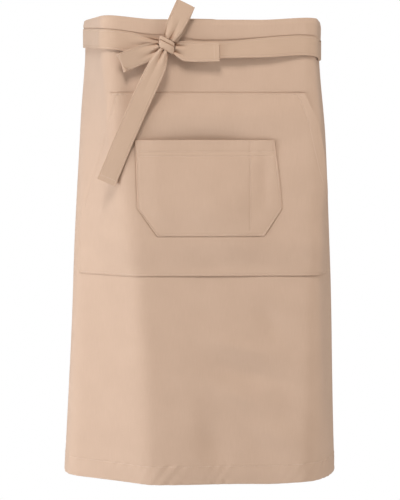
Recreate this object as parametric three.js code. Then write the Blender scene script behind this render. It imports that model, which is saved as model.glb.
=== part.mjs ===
// A long waist apron as it is worn: a skirt panel under a folded waistband, a wide pouch with a hand
// opening at each side, a patch pocket with a pen slot, and two ties that cross at the back, come
// round to the front and end in a bow.
// Millimetres, +Z up. The front faces -Y. The origin is the middle of the waist, halfway up the waistband.
import * as THREE from "three";

const { clamp, degToRad, lerp, smoothstep } = THREE.MathUtils;

// Driving dimensions
const APRON_LENGTH = 720;
const PANEL_WIDTH = 860;
const BAND_HEIGHT = 40;
const TIE_WIDTH = 30;
const CLOTH = 1.2;
const BAND_CLOTH = 1;
const TIE_CLOTH = 1.6;
const SEAM_GAP = 0.3;
const POUCH_ROOM = 8.5;
const POCKET_ROOM = 7;
const PEN_SEAM = 65;
const CLOTH_COLOUR = 0xcdb09a;

// Places that follow from them
const TOP_Z = BAND_HEIGHT / 2;
const HALF_PANEL = PANEL_WIDTH / 2;
const SEWN = 2 * SEAM_GAP;
const BAND_FACE = SEAM_GAP + BAND_CLOTH;
const TIE_REST = BAND_FACE + SEWN + TIE_CLOTH / 2;
const BAND_MIDDLE = -CLOTH / 2;
const COLUMNS = 66;
const COLUMN = PANEL_WIDTH / COLUMNS;

// Horizontal sections of the worn cloth, each at its drop below the top edge. front is how far the centre
// line lies ahead of the origin, and face is the turn of the front in degrees. From the centre line the
// cloth bends at a ridge and again at the side: each bend has its arc length from the centre line, its
// turn in degrees, and the length of cloth over which it turns.
const SECTIONS = table(
  ["drop", "front", "face", "leftRidge", "leftTurn", "leftSoft", "leftSide", "leftSideTurn", "leftSideSoft",
    "rightRidge", "rightTurn", "rightSoft", "rightSide", "rightSideTurn", "rightSideSoft"],
  [
    [0, 120, 0, 155, 78, 64, 346, 100, 190, 166, 78, 50, 346, 100, 190],
    [60, 120, 0, 155, 78, 64, 346, 100, 190, 166, 78, 50, 346, 100, 190],
    [180, 123, 0, 138, 64, 72, 290, 78, 130, 172, 77, 52, 330, 84, 170],
    [400, 124, -2, 108, 41, 76, 249, 70, 90, 167, 72, 62, 310, 60, 140],
    [APRON_LENGTH, 122, -5, 86, 31, 80, 247, 62, 70, 155, 64, 84, 290, 48, 110],
  ],
);

// Soft hanging folds: where the fold's line starts, where it meets the hem, its half width, and how far it
// stands out there. A negative depth is a valley.
const FOLDS = table(
  ["start", "startAt", "hemAt", "reach", "depth"],
  [
    [390, 40, 66, 62, -5],
    [420, -24, -34, 34, 2.5],
    [430, 190, 214, 30, 4],
    [400, -300, -312, 44, 9],
    [400, -372, -384, 36, -8],
    [380, 300, 310, 46, -7],
    [400, 372, 384, 38, 8],
  ],
);

// The waistband rises a little from the front corners on, and its lift fades out below it
const LIFT = { left: 6, right: 3.8, from: 78, full: 160, fade: 110 };

// The pouch's sides, down its curved hand openings and its sewn edges
const POUCH_OUTLINE = table(
  ["drop", "left", "right"],
  [
    [112, -151, 151],
    [157, -163, 168],
    [202, -190, 177],
    [247, -216, 187],
    [284, -232, 209],
    [298, -234, 216],
    [368, -232, 231],
    [393, -229, 236],
  ],
);
const POUCH_SIDE_SEAM = 284;

// The patch pocket's sides, from its mouth to its cut corners and its foot
const POCKET_OUTLINE = table(
  ["drop", "left", "right"],
  [
    [184, -111, 105],
    [212, -112, 110],
    [251, -112, 114],
    [289.5, -111, 116],
    [331, -78, 87],
  ],
);

// The ties round the front, by arc length from the centre line, to where they gather at the knot
const LEFT_TIE = table(
  ["at", "drop", "out", "width", "pleat"],
  [
    [-HALF_PANEL, 20, TIE_REST, TIE_WIDTH, 0],
    [-330, 25, TIE_REST, TIE_WIDTH, 0],
    [-235, 30, TIE_REST, TIE_WIDTH, 0],
    [-150, 35.3, TIE_REST, TIE_WIDTH, 0],
    [-112, 37.5, TIE_REST, 28, 0.3],
    [-92, 38.3, 3.8, 22, 0.7],
    [-75.5, 39, 4.6, 15, 1],
  ],
);
const RIGHT_TIE = table(
  ["at", "drop", "out", "width", "pleat"],
  [
    [-51, 41, 5.2, 15, 1],
    [-34, 44, 4.2, 22, 0.8],
    [-12, 46.8, TIE_REST, 28, 0.2],
    [30, 46, TIE_REST, TIE_WIDTH, 0],
    [95, 41.5, TIE_REST, TIE_WIDTH, 0],
    [150, 40, TIE_REST, TIE_WIDTH, 0],
    [205, 44, TIE_REST, TIE_WIDTH, 0],
    [280, 40, TIE_REST, TIE_WIDTH, 0],
    [350, 29, TIE_REST, TIE_WIDTH, 0],
    [HALF_PANEL, 20, TIE_REST, TIE_WIDTH, 0],
  ],
);
// Where the ties cross the open back, one passes above the other. reach is how far each end of the curve
// keeps the waistband's own direction, and endGap parts a tie's sewn end from the waistband's.
const CROSSING = { rise: 17, begin: 0.1, full: 0.38, reach: 70, steps: 12, endGap: 0.9 };

// The bow's tails along their middle line: drop, distance to the right and ahead of the origin, and the turn
// from the front in degrees. The long one hangs down over the pouch and the short one lies along the waist.
const LONG_TAIL = table(
  ["drop", "right", "ahead", "turn", "width", "pleat"],
  [
    [48.2, -67.8, 135.8, 0, 15, 0.8],
    [62, -74, 138.4, 0, 24, 0.4],
    [75.8, -80.4, 139.6, 0, 29, 0.1],
    [122.6, -102.2, 138.6, -4, TIE_WIDTH, 0],
    [185.5, -129.8, 134, -12, TIE_WIDTH, 0],
    [248.7, -155.8, 125, -24, TIE_WIDTH, 0],
  ],
);
const SHORT_TAIL = table(
  ["right", "drop", "ahead", "turn", "width", "pleat"],
  [
    [-50.5, 45, 130, 0, 18, 0.9],
    [-41, 48.2, 130.2, 0, 25, 0.4],
    [-33, 50.2, 129.6, 0, 29.5, 0.1],
    [17, 49.8, 128.6, 0, TIE_WIDTH, 0],
  ],
);

// The bow's loops: where each leaves the knot, its lean from upright in degrees, and its length
const LOOPS = table(
  ["name", "at", "drop", "lean", "length"],
  [
    ["bow_loop_upper", -60, 31, 25.6, 60],
    ["bow_loop_lower", -75.6, 44.4, 247, 61.5],
  ],
);
// One loop's way: out along its back layer, round the fold and home along its front layer
const LOOP_WAY = table(
  ["along", "out", "width", "pleat"],
  [
    [0, 9.2, 19, 0.8],
    [0.3, 7.8, 27.5, 0.2],
    [0.65, 7.6, 29.5, 0],
    [0.95, 8.2, TIE_WIDTH, 0],
    [1, 10.2, TIE_WIDTH, 0],
    [0.95, 12.2, TIE_WIDTH, 0],
    [0.65, 13.2, 29.5, 0],
    [0.3, 13.4, 27.5, 0.2],
    [0, 13, 19, 0.8],
  ],
);

// The knot is a short barrel, wrapped at a slant
const KNOT = { at: -63.5, drop: 40, out: 10.2, length: 26, height: 19, depth: 17, slant: 28 };

// A table's rows as objects with named columns
function table(columns, rows) {
  return rows.map((row) => Object.fromEntries(columns.map((column, k) => [column, row[k]])));
}

// Every column of a table at one value of its first column, on a smooth curve through the rows or, for a
// straight outline, on the lines between them
function follow(rows, at, straight = false) {
  const key = Object.keys(rows[0])[0];
  const last = rows.length - 1;
  const above = rows.findIndex((row) => row[key] > at);
  const i = above < 0 ? last - 1 : Math.max(above - 1, 0);
  const [a, b] = [rows[i], rows[i + 1]];
  const [before, after] = [rows[Math.max(i - 1, 0)], rows[Math.min(i + 2, last)]];
  const span = b[key] - a[key];
  const t = clamp((at - a[key]) / span, 0, 1);
  const result = {};
  for (const column of Object.keys(a)) {
    const slopeA = (b[column] - before[column]) / (b[key] - before[key]) * span;
    const slopeB = (after[column] - a[column]) / (after[key] - a[key]) * span;
    const eased = lerp(a[column], b[column], t * t * (3 - 2 * t));
    const smooth = eased + slopeA * t * (1 - t) ** 2 - slopeB * t * t * (1 - t);
    result[column] = straight ? lerp(a[column], b[column], t) : smooth;
  }
  return result;
}

// The panel's direction at an arc length s along one section, as an angle from +X
function heading(section, s) {
  const bend = (from, at, turn, soft) => turn * smoothstep(from, at - soft / 2, at + soft / 2);
  const right = bend(s, section.rightRidge, section.rightTurn, section.rightSoft)
    + bend(s, section.rightSide, section.rightSideTurn, section.rightSideSoft);
  const left = bend(-s, section.leftRidge, section.leftTurn, section.leftSoft)
    + bend(-s, section.leftSide, section.leftSideTurn, section.leftSideSoft);
  return degToRad(section.face + right - left);
}

// How far the hanging folds push the cloth out
function foldDepth(s, drop) {
  let depth = 0;
  for (const fold of FOLDS) {
    const t = smoothstep(drop, fold.start, APRON_LENGTH);
    const offset = (s - lerp(fold.startAt, fold.hemAt, t)) / fold.reach;
    depth += fold.depth * t * Math.exp(-offset * offset);
  }
  return depth;
}

// The outward direction of the worn cloth
function outward(s, drop) {
  const angle = heading(follow(SECTIONS, drop), s);
  return new THREE.Vector3(Math.sin(angle), -Math.cos(angle), 0);
}

// The place of a point of the flat cloth once it is worn: s along the width from the centre line, drop
// below the top edge, and out from the panel's outer face
function worn(s, drop, out = 0) {
  const stride = 4;
  const section = follow(SECTIONS, drop);
  const steps = Math.max(1, Math.ceil(Math.abs(s) / stride));
  const place = new THREE.Vector3(0, -section.front, 0);
  for (let k = 0; k < steps; k += 1) {
    const angle = heading(section, (k + 0.5) / steps * s);
    place.x += Math.cos(angle) * s / steps;
    place.y += Math.sin(angle) * s / steps;
  }
  const height = s < 0 ? LIFT.left : LIFT.right;
  const lift = height * smoothstep(Math.abs(s), LIFT.from, LIFT.full) * (1 - smoothstep(drop, 0, LIFT.fade));
  place.addScaledVector(outward(s, drop), out + foldDepth(s, drop));
  place.z = TOP_Z - drop + lift;
  return place;
}

// A closed wall between an outer and an inner grid of points. place(u, v, side) takes whole steps across
// and down, and side 0 for the outer face or 1 for the inner one.
function wall(across, down, place) {
  const positions = [];
  const index = [];
  const count = (across + 1) * (down + 1);
  const id = (u, v, side) => side * count + v * (across + 1) + u;
  const quad = (a, b, c, d) => index.push(a, b, c, a, c, d);
  for (const side of [0, 1]) {
    for (let v = 0; v <= down; v += 1) {
      for (let u = 0; u <= across; u += 1) {
        positions.push(...place(u, v, side).toArray());
      }
    }
  }
  for (let v = 0; v < down; v += 1) {
    for (let u = 0; u < across; u += 1) {
      quad(id(u, v, 0), id(u, v + 1, 0), id(u + 1, v + 1, 0), id(u + 1, v, 0));
      quad(id(u, v, 1), id(u + 1, v, 1), id(u + 1, v + 1, 1), id(u, v + 1, 1));
    }
    quad(id(0, v, 0), id(0, v, 1), id(0, v + 1, 1), id(0, v + 1, 0));
    quad(id(across, v, 0), id(across, v + 1, 0), id(across, v + 1, 1), id(across, v, 1));
  }
  for (let u = 0; u < across; u += 1) {
    quad(id(u, 0, 0), id(u + 1, 0, 0), id(u + 1, 0, 1), id(u, 0, 1));
    quad(id(u, down, 0), id(u, down, 1), id(u + 1, down, 1), id(u + 1, down, 0));
  }
  const geometry = new THREE.BufferGeometry();
  geometry.setAttribute("position", new THREE.Float32BufferAttribute(positions, 3));
  geometry.setIndex(index);
  return geometry;
}

// A strip of tie cloth through stations that each have a middle point, a direction across, a width and
// the depth of the pleats into which the strip is gathered
function strip(stations) {
  const across = 4;
  const pleats = 2;
  const last = stations.length - 1;
  const tangents = stations.map((station, k) => stations[Math.min(k + 1, last)].middle.clone()
    .sub(stations[Math.max(k - 1, 0)].middle).normalize());
  return wall(across, last, (u, v, side) => {
    const { middle, width, pleat } = stations[v];
    const sideways = stations[v].across.clone();
    sideways.addScaledVector(tangents[v], -sideways.dot(tangents[v])).normalize();
    const face = tangents[v].clone().cross(sideways);
    const t = u / across - 0.5;
    const height = pleat * Math.cos(2 * Math.PI * pleats * t) + (0.5 - side) * TIE_CLOTH;
    return middle.clone().addScaledVector(sideways, t * width).addScaledVector(face, height);
  });
}

// Stations along a route on the worn cloth from one end of the panel, at the panel's own columns, so that
// the strip lies on it without cutting its corners, and one more at the knot
function routeStations(route, from, knotEnd) {
  const direction = Math.sign(knotEnd - from);
  const places = [];
  for (let s = from; (knotEnd - s) * direction > COLUMN / 2; s += direction * COLUMN) {
    places.push(s);
  }
  return [...places, knotEnd].map((s) => {
    const row = follow(route, s);
    return { ...row, middle: worn(row.at, row.drop, row.out), across: new THREE.Vector3(0, 0, 1) };
  });
}

// Stations across the open back between the waistband's ends. ahead is 1 for the tie sewn to the left end,
// which passes above, and -1 for the one sewn to the right end, which passes below.
function crossingStations(ahead) {
  const middleDrop = BAND_HEIGHT / 2;
  const { begin, full, reach, steps } = CROSSING;
  const ends = [-1, 1].map((side) => worn(side * HALF_PANEL, middleDrop));
  const lead = [-1, 1].map((side) => {
    const facing = outward(side * HALF_PANEL, middleDrop);
    return new THREE.Vector3(side * -facing.y, side * facing.x, 0);
  });
  const curve = new THREE.CubicBezierCurve3(
    ends[0],
    ends[0].clone().addScaledVector(lead[0], reach),
    ends[1].clone().addScaledVector(lead[1], reach),
    ends[1],
  );
  const stations = [];
  for (let k = 0; k < steps; k += 1) {
    const t = ahead > 0 ? k / steps : 1 - k / steps;
    const gone = k / steps;
    const tangent = curve.getTangent(t);
    const facing = new THREE.Vector3(-tangent.y, tangent.x, 0);
    const rise = smoothstep(gone, begin, full) - smoothstep(gone, 1 - full, 1 - begin);
    const out = lerp(BAND_MIDDLE, TIE_REST, smoothstep(gone, full, 1 - full));
    const middle = curve.getPoint(t).addScaledVector(facing, out);
    middle.z += ahead * CROSSING.rise * rise;
    if (k === 0) {
      middle.addScaledVector(tangent, ahead * CROSSING.endGap);
    }
    stations.push({ middle, across: new THREE.Vector3(0, 0, 1), width: TIE_WIDTH, pleat: 0 });
  }
  return stations;
}

// The drops down an outline, with a number of steps between each two rows
function dropsThrough(outline, stepsEach) {
  const drops = [outline[0].drop];
  for (let i = 1; i < outline.length; i += 1) {
    for (let k = 1; k <= stepsEach; k += 1) {
      drops.push(lerp(outline[i - 1].drop, outline[i].drop, k / stepsEach));
    }
  }
  return drops;
}

// The skirt panel hangs from inside the waistband's fold
function skirtPanel() {
  const tuck = 3;
  const drops = [tuck, 40, 80, 125, 175, 230, 290, 350, 410, 480, 560, 640, APRON_LENGTH];
  return wall(COLUMNS, drops.length - 1, (u, v, side) =>
    worn(u * COLUMN - HALF_PANEL, drops[v], -side * CLOTH));
}

// The waistband is one strip folded over the panel's top edge: up the inside, over and down the outside
function waistband() {
  const leaf = CLOTH / 2 + SEAM_GAP;
  const shoulder = 1.6;
  const way = table(
    ["side", "drop"],
    [
      [-1, BAND_HEIGHT],
      [-1, shoulder],
      [0, 0],
      [1, shoulder],
      [1, BAND_HEIGHT],
    ],
  );
  return wall(COLUMNS, way.length - 1, (u, v, side) => {
    const cloth = side === 0 ? BAND_CLOTH : 0;
    const drop = way[v].side === 0 ? BAND_CLOTH - cloth : way[v].drop;
    return worn(u * COLUMN - HALF_PANEL, drop, BAND_MIDDLE + way[v].side * (leaf + cloth));
  });
}

// How far the pouch's inner face stands off the panel: sewn along its top, its foot and its lower sides
function pouchStand(s, drop) {
  const first = POUCH_OUTLINE[0].drop;
  const foot = POUCH_OUTLINE[POUCH_OUTLINE.length - 1].drop;
  const seam = { top: 36, foot: 26, side: 80, corner: 18 };
  const mouth = { from: 120, stand: 0.5 };
  const { left, right } = follow(POUCH_OUTLINE, drop);
  const half = s < 0 ? -left : right;
  const held = smoothstep(drop, POUCH_SIDE_SEAM - seam.corner, POUCH_SIDE_SEAM + seam.corner);
  const open = lerp(1, mouth.stand, smoothstep(Math.abs(s), mouth.from, half));
  const fromSide = lerp(open, smoothstep(half - Math.abs(s), 0, seam.side), held);
  const fromEnds = smoothstep(drop, first, first + seam.top) * smoothstep(foot - drop, 0, seam.foot);
  return SEWN + POUCH_ROOM * fromEnds * fromSide;
}

function pouch() {
  const columns = 36;
  const drops = dropsThrough(POUCH_OUTLINE, 2);
  return wall(columns, drops.length - 1, (u, v, side) => {
    const { left, right } = follow(POUCH_OUTLINE, drops[v]);
    const s = lerp(left, right, u / columns);
    return worn(s, drops[v], pouchStand(s, drops[v]) + (1 - side) * CLOTH);
  });
}

// How far the pocket's inner face stands off the panel: sewn to the pouch along its sides, its foot and
// the seam that parts the pen slot, and open at its mouth
function pocketStand(s, drop) {
  const foot = POCKET_OUTLINE[POCKET_OUTLINE.length - 1].drop;
  const seam = { foot: 30, side: 24, pen: 10 };
  const { left, right } = follow(POCKET_OUTLINE, drop, true);
  const fromSides = smoothstep(s - left, 0, seam.side) * smoothstep(right - s, 0, seam.pen);
  const fromPen = smoothstep(Math.abs(s - PEN_SEAM), 0, seam.pen);
  const rise = smoothstep(foot - drop, 0, seam.foot) * fromSides * fromPen;
  return pouchStand(s, drop) + CLOTH + SEWN + POCKET_ROOM * rise;
}

function patchPocket() {
  const mainColumns = 14;
  const penColumns = 7;
  const drops = dropsThrough(POCKET_OUTLINE, 2);
  return wall(mainColumns + penColumns, drops.length - 1, (u, v, side) => {
    const { left, right } = follow(POCKET_OUTLINE, drops[v], true);
    const s = u <= mainColumns
      ? lerp(left, PEN_SEAM, u / mainColumns)
      : lerp(PEN_SEAM, right, (u - mainColumns) / penColumns);
    return worn(s, drops[v], pocketStand(s, drops[v]) + (1 - side) * CLOTH);
  });
}

// Each tie starts at one end of the waistband, crosses the open back and comes round to the knot
function leftTie() {
  const knotEnd = LEFT_TIE[LEFT_TIE.length - 1].at;
  return strip([...crossingStations(-1), ...routeStations(LEFT_TIE, -HALF_PANEL, knotEnd)]);
}

function rightTie() {
  const knotEnd = RIGHT_TIE[0].at;
  return strip([...crossingStations(1), ...routeStations(RIGHT_TIE, HALF_PANEL, knotEnd)]);
}

// A tail hangs from the knot, square to its own run
function tail(route) {
  const steps = 18;
  const [key] = Object.keys(route[0]);
  const from = route[0][key];
  const to = route[route.length - 1][key];
  const stations = [];
  for (let k = 0; k <= steps; k += 1) {
    const row = follow(route, lerp(from, to, k / steps));
    const turn = degToRad(row.turn);
    const middle = new THREE.Vector3(row.right, -row.ahead, TOP_Z - row.drop);
    stations.push({ ...row, middle, facing: new THREE.Vector3(Math.sin(turn), -Math.cos(turn), 0) });
  }
  stations.forEach((station, k) => {
    const run = stations[Math.min(k + 1, steps)].middle.clone().sub(stations[Math.max(k - 1, 0)].middle);
    station.across = station.facing.clone().cross(run).normalize();
  });
  return strip(stations);
}

// A loop is one strip that leaves the knot, folds back on itself and returns
function bowLoop(loop) {
  const steps = 20;
  const lean = degToRad(loop.lean);
  const across = new THREE.Vector3(Math.cos(lean), 0, -Math.sin(lean));
  const points = LOOP_WAY.map((row) => worn(
    loop.at + Math.sin(lean) * row.along * loop.length,
    loop.drop - Math.cos(lean) * row.along * loop.length,
    row.out,
  ));
  const curve = new THREE.CatmullRomCurve3(points, false, "centripetal");
  const ways = LOOP_WAY.map((row, k) => ({ k, width: row.width, pleat: row.pleat }));
  const stations = [];
  for (let k = 0; k <= steps; k += 1) {
    const t = k / steps;
    const { width, pleat } = follow(ways, t * (LOOP_WAY.length - 1));
    stations.push({ middle: curve.getPoint(t), across, width, pleat });
  }
  return strip(stations);
}

function knot() {
  const sides = 20;
  const steps = 8;
  const power = 3;
  const profile = [];
  for (let k = 0; k <= steps; k += 1) {
    const y = -Math.cos(Math.PI * k / steps);
    const radius = (1 - Math.abs(y) ** power) ** (1 / power);
    profile.push(new THREE.Vector2(k === 0 || k === steps ? 0 : radius, y));
  }
  const geometry = new THREE.LatheGeometry(profile, sides);
  geometry.scale(KNOT.length / 2, KNOT.height / 2, KNOT.depth / 2);
  geometry.rotateX(Math.PI / 2);
  return geometry;
}

// The assembly
const apron = new THREE.Group();

function add(name, geometry) {
  const material = new THREE.MeshStandardMaterial({ color: CLOTH_COLOUR, roughness: 0.9, metalness: 0 });
  const mesh = new THREE.Mesh(geometry, material);
  mesh.name = name;
  apron.add(mesh);
  return mesh;
}

add("skirt_panel", skirtPanel());
add("waistband", waistband());
add("pouch", pouch());
add("patch_pocket", patchPocket());
add("tie_left", leftTie());
add("tie_right", rightTie());
for (const loop of LOOPS) {
  add(loop.name, bowLoop(loop));
}
add("bow_tail_long", tail(LONG_TAIL));
add("bow_tail_short", tail(SHORT_TAIL));

const bowKnot = add("bow_knot", knot());
bowKnot.position.copy(worn(KNOT.at, KNOT.drop, KNOT.out));
bowKnot.rotation.y = degToRad(KNOT.slant);

export default apron;
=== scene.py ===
# %% [markdown]
# # A long waist apron, dressed as cloth
# The imported solids give every piece of the apron its true size and place. This lesson dresses each of
# them as sewn twill: the same shapes on a finer grid, with hems, rolled edges, puckered seams and real
# stitches.

# %% Load the imported apron
import math
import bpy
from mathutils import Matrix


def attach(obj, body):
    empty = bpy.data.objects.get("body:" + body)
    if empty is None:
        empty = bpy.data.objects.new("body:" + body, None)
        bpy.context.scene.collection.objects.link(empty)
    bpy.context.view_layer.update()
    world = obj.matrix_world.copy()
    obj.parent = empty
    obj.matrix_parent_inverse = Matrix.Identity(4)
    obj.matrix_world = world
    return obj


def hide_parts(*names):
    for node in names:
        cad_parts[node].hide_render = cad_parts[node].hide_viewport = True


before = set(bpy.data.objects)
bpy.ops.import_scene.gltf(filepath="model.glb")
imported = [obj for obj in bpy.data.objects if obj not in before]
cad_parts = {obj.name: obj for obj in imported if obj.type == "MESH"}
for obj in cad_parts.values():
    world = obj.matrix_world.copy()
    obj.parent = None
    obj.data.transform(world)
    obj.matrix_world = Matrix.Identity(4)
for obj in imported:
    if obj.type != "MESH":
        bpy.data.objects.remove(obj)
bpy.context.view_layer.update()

from types import SimpleNamespace as Sizes

import bpy
import numpy as np
from mathutils import Vector

scene = bpy.context.scene
print("pieces to dress:", ", ".join(sorted(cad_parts)))

# %% [markdown]
# ## The cloth's sizes
# An apron is cut flat, so the sizes are those of flat cloth, in metres. The walls are about as thick as
# those of the solids, which is a little more than real twill has. Gaps keep sewn layers from touching.

# %% Sizes of the flat cloth
APRON_LENGTH = 0.72
PANEL_WIDTH = 0.86
BAND_HEIGHT = 0.04
TIE_WIDTH = 0.03
CLOTH = 0.0012
BAND_CLOTH = 0.001
TIE_CLOTH = 0.0016
SEAM_GAP = 0.0003
POUCH_ROOM = 0.006
POCKET_ROOM = 0.003
PEN_SEAM = 0.065
HEM_DEPTH = 0.029

TOP_Z = BAND_HEIGHT / 2
HALF_PANEL = PANEL_WIDTH / 2
SEWN = 2 * SEAM_GAP
BAND_FACE = SEAM_GAP + BAND_CLOTH
TIE_REST = BAND_FACE + SEWN + TIE_CLOTH / 2
BAND_MIDDLE = -CLOTH / 2
print(f"panel {PANEL_WIDTH} by {APRON_LENGTH} m, ties {TIE_WIDTH} m wide")

# %% [markdown]
# ## Tables and smooth curves
# A sewing pattern is a short list of measures, so each shape here is a short table with named columns. A
# smooth curve through its rows gives every value in between, for a whole array of points at once.

# %% Tables, and curves through them
join = np.concatenate


def table(columns, *rows):
    return dict(zip(columns.split(), np.array(rows, float).T))


def ease(x):
    x = np.clip(x, 0, 1)
    return x * x * (3 - 2 * x)


def between(x, low, high):
    return ease((x - low) / (high - low))


def lerp(a, b, t):
    return a + (b - a) * t


def hump(x):
    return np.exp(-x * x)


def unit(v):
    return v / np.linalg.norm(v, axis=-1, keepdims=True)


# %% Curves through a table
def length_along(points):
    return join([[0], np.cumsum(np.linalg.norm(np.diff(points, axis=0), axis=1))])


def follow(rows, at, straight=False):
    columns = list(rows)
    x = rows[columns[0]]
    at = np.asarray(at, float)
    i = np.clip(np.searchsorted(x, at, side="right") - 1, 0, len(x) - 2)
    before, after = np.maximum(i - 1, 0), np.minimum(i + 2, len(x) - 1)
    span = x[i + 1] - x[i]
    t = np.clip((at - x[i]) / span, 0, 1)
    result = {}
    for column in columns:
        v = rows[column]
        if straight:
            result[column] = lerp(v[i], v[i + 1], t)
            continue
        slope_a = (v[i + 1] - v[before]) / (x[i + 1] - x[before]) * span
        slope_b = (v[after] - v[i]) / (x[after] - x[i]) * span
        bends = slope_a * t * (1 - t) ** 2 - slope_b * t * t * (1 - t)
        result[column] = lerp(v[i], v[i + 1], ease(t)) + bends
    return result


# %% [markdown]
# ## The worn shape
# Flat cloth that is wrapped round a waist bends in one direction only, so each level is a line of known
# length that turns at a ridge and again at the side. A cloth simulation could find that shape, but it
# would stretch the pattern and differ from the solids. Turning angles summed along the line keep every
# length true.

# %% Sections, folds and the raised corners
SECTIONS = table(
    "drop front face left_ridge left_ridge_turn left_ridge_soft left_side left_side_turn left_side_soft "
    "right_ridge right_ridge_turn right_ridge_soft right_side right_side_turn right_side_soft",
    (0, 0.12, 0, 0.155, 78, 0.046, 0.346, 100, 0.19, 0.1645, 78, 0.042, 0.346, 100, 0.19),
    (0.06, 0.12, 0, 0.155, 78, 0.046, 0.346, 100, 0.19, 0.1645, 78, 0.042, 0.346, 100, 0.19),
    (0.18, 0.123, 0, 0.139, 64, 0.042, 0.29, 78, 0.13, 0.174, 77, 0.04, 0.33, 84, 0.17),
    (0.4, 0.124, -2, 0.109, 41, 0.036, 0.249, 70, 0.09, 0.17, 72, 0.044, 0.31, 60, 0.14),
    (APRON_LENGTH, 0.122, -5, 0.088, 31, 0.036, 0.248, 62, 0.07, 0.164, 66, 0.056, 0.29, 48, 0.11),
)
FOLDS = table(
    "start start_at hem_at reach depth",
    (0.39, 0.04, 0.066, 0.062, -0.005),
    (0.42, -0.024, -0.034, 0.034, 0.0025),
    (0.43, 0.19, 0.214, 0.03, 0.004),
    (0.3, -0.104, -0.086, 0.04, 0.004),
    (0.4, -0.3, -0.312, 0.044, 0.009),
    (0.4, -0.372, -0.384, 0.036, -0.008),
    (0.38, 0.3, 0.31, 0.046, -0.007),
    (0.4, 0.372, 0.384, 0.038, 0.008),
)
LIFT = Sizes(left=0.006, right=0.0038, begin=0.078, full=0.16, fade=0.11)
HEM_LIFT = Sizes(depth=0.0046, begin=0.085, full=0.17, start=0.45)


def heading(s, drop):
    row = follow(SECTIONS, drop)
    turn = row["face"]
    for side, way in (("right", 1), ("left", -1)):
        for bend in (f"{side}_ridge", f"{side}_side"):
            along = (way * s - row[bend]) / row[f"{bend}_soft"] + 0.5
            turn = turn + way * row[f"{bend}_turn"] * ease(along)
    return np.radians(turn)


print("end of the hem turns by", np.degrees(heading(HALF_PANEL, APRON_LENGTH)).round(1), "degrees")

# %% [markdown]
# Creases are what tell cloth from card. Each is a soft ridge or valley with a place, a lean, a length, a
# reach and a depth. Most are a millimetre deep or less. The broad dents and swells round the pocket and
# below the pouch are up to about five. They move the points themselves, so they also show from the side.

# %% Creases on the worn cloth
CREASES = table(
    "at drop lean length reach depth",
    (-0.118, 0.105, 12, 0.05, 0.01, -0.0009),
    (-0.02, 0.105, -20, 0.036, 0.012, -0.0008),
    (0.085, 0.09, 35, 0.04, 0.012, 0.0007),
    (0.135, 0.36, 72, 0.04, 0.009, -0.001),
    (0.06, 0.372, 80, 0.055, 0.01, -0.0006),
    (-0.02, 0.62, 8, 0.09, 0.016, 0.0008),
    (0.12, 0.6, -6, 0.11, 0.02, -0.0008),
    (-0.09, 0.64, 10, 0.08, 0.014, -0.0007),
    (0.03, 0.48, 14, 0.08, 0.022, 0.0006),
    (0.19, 0.52, -4, 0.12, 0.018, 0.0008),
    (0.05, 0.505, 76, 0.05, 0.014, 0.0038),
    (0.1, 0.47, 40, 0.03, 0.017, -0.0038),
    (0.07, 0.548, 78, 0.06, 0.014, -0.0034),
    (0.055, 0.585, 70, 0.045, 0.016, 0.0038),
    (0.105, 0.64, 62, 0.04, 0.018, 0.0038),
    (0.01, 0.66, 30, 0.036, 0.024, -0.004),
    (0, 0.191, 0, 0.03, 0.095, -0.004),
    (0.087, 0.236, 0, 0.045, 0.011, -0.003),
    (0.184, 0.315, 3, 0.055, 0.011, -0.003),
    (0.02, 0.28, 0, 0.045, 0.055, 0.0052),
    (0.04, 0.338, 0, 0.03, 0.06, 0.0022),
    (0.05, 0.262, 0, 0.06, 0.018, 0.0012),
)


def relief(s, drop):
    depth = np.zeros(np.broadcast(s, drop).shape)
    for start, start_at, hem_at, reach, size in zip(*FOLDS.values()):
        t = between(drop, start, APRON_LENGTH)
        depth += size * t * hump((s - lerp(start_at, hem_at, t)) / reach)
    for at, low, lean, length, reach, size in zip(*CREASES.values()):
        c, n = math.cos(math.radians(lean)), math.sin(math.radians(lean))
        down = (drop - low) * c + (s - at) * n
        sideways = (s - at) * c - (drop - low) * n
        depth += size * hump(down / length) * hump(sideways / reach)
    return depth


print(len(FOLDS["start"]), "folds and", len(CREASES["at"]), "creases")

# %% [markdown]
# Summing turns for every point would be slow, so the sums are made once, on a close grid of the flat
# cloth. Any point is then looked up there, and pushed out along the way that the cloth faces.

# %% From the flat pattern to the worn place
CHART_STEP = 0.002
CHART_STEPS = 220
CHART_ROWS = 186
CHART_MARGIN = 0.01
INSIDE_LAST = 1.001
chart_s = np.arange(-CHART_STEPS, CHART_STEPS + 1) * CHART_STEP
chart_drop = np.linspace(-CHART_MARGIN, APRON_LENGTH + CHART_MARGIN, CHART_ROWS)
chart_turn = heading(chart_s[None, :], chart_drop[:, None])


def summed(slopes):
    steps = (slopes[:, 1:] + slopes[:, :-1]) / 2 * CHART_STEP
    total = join([np.zeros((len(slopes), 1)), np.cumsum(steps, axis=1)], axis=1)
    return total - total[:, [len(chart_s) // 2]]


chart_x = summed(np.cos(chart_turn))
chart_y = summed(np.sin(chart_turn)) - follow(SECTIONS, chart_drop)["front"][:, None]
print("chart of", chart_x.shape, "places")


# %% Worn places
def on_chart(values, s, drop):
    row_step = chart_drop[1] - chart_drop[0]
    u = np.clip((s - chart_s[0]) / CHART_STEP, 0, len(chart_s) - INSIDE_LAST)
    v = np.clip((drop - chart_drop[0]) / row_step, 0, len(chart_drop) - INSIDE_LAST)
    i, j = u.astype(int), v.astype(int)
    p, q = u - i, v - j
    return lerp(lerp(values[j, i], values[j, i + 1], p), lerp(values[j + 1, i], values[j + 1, i + 1], p), q)


def outward(s, drop):
    angle = heading(s, drop)
    return np.stack([np.sin(angle), -np.cos(angle), np.zeros_like(angle)], -1)


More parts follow.
